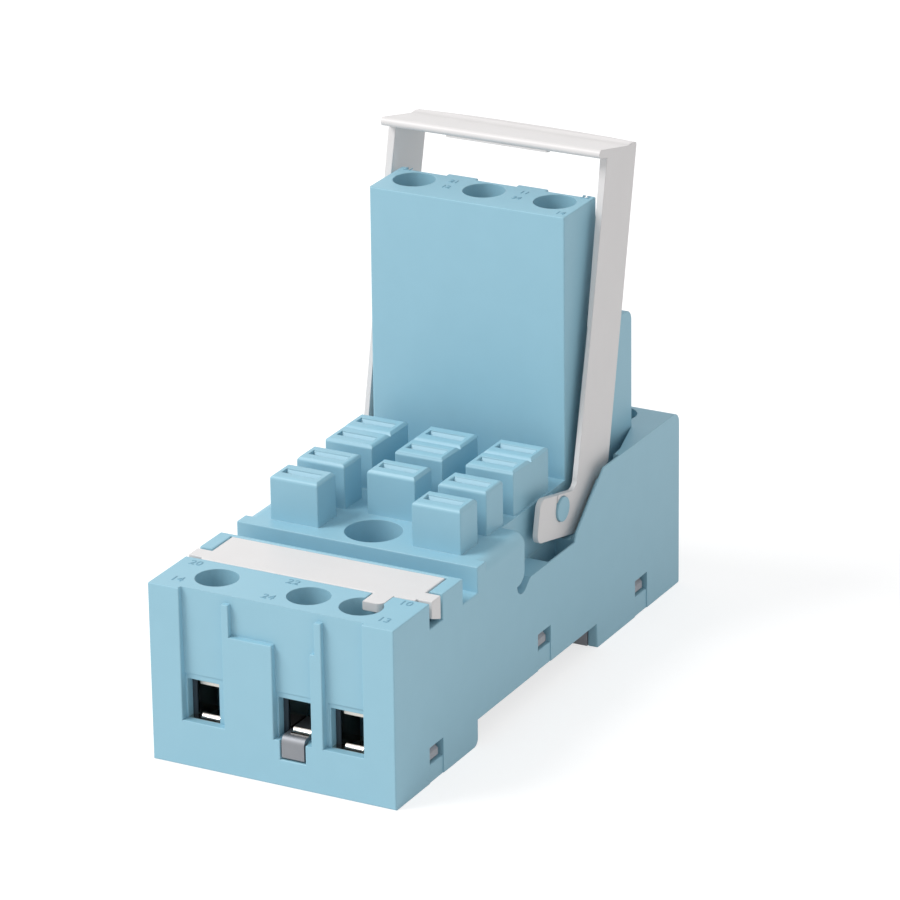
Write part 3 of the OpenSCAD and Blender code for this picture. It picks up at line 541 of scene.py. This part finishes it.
def makeGuides():
    shape = bmesh.new()
    radius = wireGuide["radius"]
    floors = []
    for number, (x, y, rise, facing, face) in enumerate(terminalPlaces):
        onLink = number == linkTerminal
        bottom = windowTrim["bottom"] + rise + wireGuide["linkLift" if onLink else "lift"]
        front = face - facing * (windowTrim["recess"] + wireGuide["setBack"])
        if not onLink:
            near, far = clearSides(number, x, facing)
            back = y + facing * windowTrim["chamber"]
            floors.append(((near, front, bottom - wireGuide["floor"]), (far, back, bottom)))
        centre = at(x, front, bottom + radius)
        ends = [shape.verts.new(centre + Vector((side, 0, -radius)) * mm) for side in wireGuide["side"]]
        edge = shape.edges.new(ends)
        bmesh.ops.spin(shape, geom=[*ends, edge], cent=centre, axis=(1, 0, 0), dvec=(0, 0, 0),
                       angle=-facing * math.radians(wireGuide["turn"]), steps=wireGuide["steps"])
    bmesh.ops.remove_doubles(shape, verts=shape.verts, dist=weld)
    bmesh.ops.recalc_face_normals(shape, faces=shape.faces)
    bmesh.ops.solidify(shape, geom=shape.faces, thickness=wireGuide["sheet"] * mm)
    for first, second in floors:
        addBlock(shape, first, second)
    piece = finishPiece(shape, "wireGuides", nickel)
    for face in piece.data.polygons:
        face.use_smooth = True
    piece.data.set_sharp_from_angle(angle=math.radians(wireGuide["smooth"]))


makeThroats()
makeJambs()
makeGuides()
print("slots and windows finished")


# Plain terminal numbers beside the screw holes, as low raised digits in a darker blue that is painted
# shade for their strokes' shadows
digitStyle = {
    "proud": 0.05,      # mm
    "curveSteps": 3,
}
# Each top's height and size of lettering, then its numbers with their x and y, all in mm
numberedTops = [
    (26.4, 2.0, [("20", -16.4, 8.7), ("22", -1.1, 8.7), ("10", 16.1, 9.0),
                 ("14", -15.9, 2.8), ("24", -1.7, 2.8), ("13", 16.1, 2.8)]),
    (65.8, 1.5, [("31", -14.1, 67.25), ("21", -5.6, 65.2), ("12", -5.6, 62.7), ("11", 5.6, 65.2),
                 ("34", 5.6, 62.7), ("32", 14.2, 67.25), ("14", 14.1, 59.6)]),
    (45.4, 2.0, [("32", -15.4, 70.4), ("34", -5.6, 74.4), ("44", 5.6, 74.4)]),
    (27.1, 2.0, [("15", -16.0, 80.9), ("25", -5.6, 83.0), ("35", 5.6, 83.0)]),
]


def makeNumbers():
    shape = bmesh.new()
    for height, size, labels in numberedTops:
        for text, x, y in labels:
            curve = bpy.data.curves.new("digits", "FONT")
            curve.body = text
            curve.size = size * mm
            curve.align_x = "CENTER"
            curve.align_y = "CENTER"
            curve.extrude = digitStyle["proud"] * mm
            curve.resolution_u = digitStyle["curveSteps"]
            writing = addObject("digits", curve)
            flat = evaluatedMesh(writing)
            flat.transform(Matrix.Translation(at(x, y, height)))
            shape.from_mesh(flat)
            bpy.data.objects.remove(writing)
            bpy.data.curves.remove(curve)
            bpy.data.meshes.remove(flat)
    bmesh.ops.remove_doubles(shape, verts=shape.verts, dist=weld)
    finishPiece(shape, "terminalDigits", digitPaintedShade)


makeNumbers()
print("numbers set")


# Floor, world and lights
studio = {
    "sky": 0.64,        # strength of the world's light
    "skyColour": (0.985, 0.99, 1, 1),
    "floorSize": 4,     # m from the middle to each side
    "floorGlow": 0.70,  # what the camera sees besides the floor's own lit paper
    "floorPaper": 0.42,
    "floorBounce": 0.8,     # the paper that lights the socket from below
    "keyPlace": (-0.95, -0.8, 1.35),    # m
    "keyAim": (0, 0, 0.03),
    "keySize": 0.9,
    "keyPower": 21.5,   # W
}


def makeFloor():
    shape = bmesh.new()
    bmesh.ops.create_grid(shape, x_segments=1, y_segments=1, size=studio["floorSize"])
    floor = addObject("floor", meshOf(shape, "floor"))
    sheet = Sheet(bpy.data.materials.new("floorPaper"))
    glow = sheet.add("ShaderNodeEmission", {}, {"Color": grey(1), "Strength": studio["floorGlow"]})
    paper = sheet.add("ShaderNodeBsdfDiffuse", {}, {"Color": grey(studio["floorPaper"])})
    seen = sheet.add("ShaderNodeAddShader", {}, {0: glow, 1: paper})
    plain = sheet.add("ShaderNodeBsdfDiffuse", {}, {"Color": grey(studio["floorBounce"])})
    shader = sheet.add("ShaderNodeMixShader", {}, {0: sheet.whiteRays(), 1: plain, 2: seen})
    floor.data.materials.append(sheet.finish(shader))


def addKeyLamp():
    data = bpy.data.lights.new("key", "AREA")
    data.shape = "DISK"
    data.size = studio["keySize"]
    data.energy = studio["keyPower"]
    lamp = addObject("key", data)
    lamp.location = studio["keyPlace"]
    view = Vector(studio["keyAim"]) - Vector(studio["keyPlace"])
    lamp.rotation_euler = view.to_track_quat("-Z", "Y").to_euler()


def makeWorld():
    world = bpy.data.worlds.new("studio")
    bpy.context.scene.world = world
    sheet = Sheet(world)
    light = sheet.add("ShaderNodeBackground", {},
                      {"Color": studio["skyColour"], "Strength": studio["sky"]})
    white = sheet.add("ShaderNodeBackground", {}, {"Color": grey(1), "Strength": 1})
    shader = sheet.add("ShaderNodeMixShader", {}, {0: sheet.whiteRays(), 1: light, 2: white})
    sheet.finish(shader, "World")


makeFloor()
makeWorld()
addKeyLamp()
bpy.context.scene.view_settings.view_transform = "Standard"
print("stage lit")
